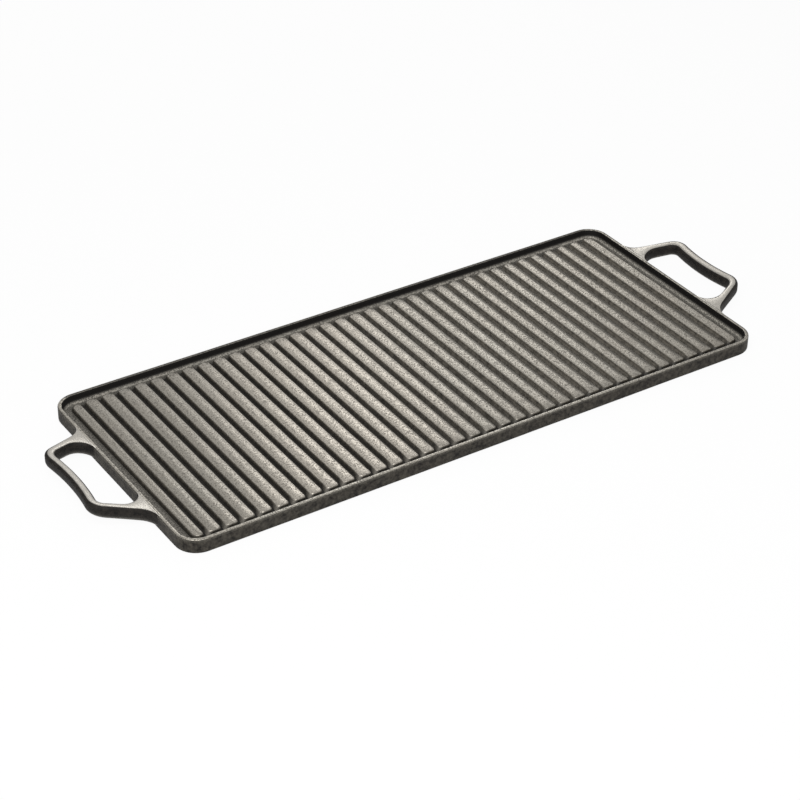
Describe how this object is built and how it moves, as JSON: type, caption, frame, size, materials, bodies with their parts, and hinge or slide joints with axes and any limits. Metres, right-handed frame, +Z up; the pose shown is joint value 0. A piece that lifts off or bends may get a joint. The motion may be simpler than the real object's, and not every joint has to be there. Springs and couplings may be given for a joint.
{
  "type": "cast iron griddle plate",
  "caption": "Long rectangular cast-iron griddle plate with a raised rim, cross ribs for searing, a drip gutter and a rising loop handle on each short end.",
  "frame": {"origin": "on the underside of the plate, below its middle", "axes": "+X along the plate from the left handle to the right one, +Y from front to back, +Z up, out of the cooking face"},
  "size_m": [0.5408, 0.196, 0.0165],
  "materials": {
    "pan_iron": "seasoned, sand-cast, dark on the floor and walls, rim worn bright",
    "rib_iron": "seasoned, sand-cast, tops rubbed to a grey sheen",
    "handle_iron": "seasoned, sand-cast, smooth from the hand"
  },
  "bodies": {
    "root": {"base_plate": "pan_iron", "rim": "pan_iron", "rib_01": "rib_iron", "rib_02": "rib_iron", "rib_03": "rib_iron", "rib_04": "rib_iron", "rib_05": "rib_iron", "rib_06": "rib_iron", "rib_07": "rib_iron", "rib_08": "rib_iron", "rib_09": "rib_iron", "rib_10": "rib_iron", "rib_11": "rib_iron", "rib_12": "rib_iron", "rib_13": "rib_iron", "rib_14": "rib_iron", "rib_15": "rib_iron", "rib_16": "rib_iron", "rib_17": "rib_iron", "rib_18": "rib_iron", "rib_19": "rib_iron", "rib_20": "rib_iron", "rib_21": "rib_iron", "rib_22": "rib_iron", "rib_23": "rib_iron", "rib_24": "rib_iron", "rib_25": "rib_iron", "rib_26": "rib_iron", "rib_27": "rib_iron", "rib_28": "rib_iron", "rib_29": "rib_iron", "rib_30": "rib_iron", "rib_31": "rib_iron", "rib_32": "rib_iron", "rib_33": "rib_iron", "rib_34": "rib_iron", "rib_35": "rib_iron", "rib_36": "rib_iron", "left_handle": "handle_iron", "right_handle": "handle_iron"}
  },
  "joints": []
}
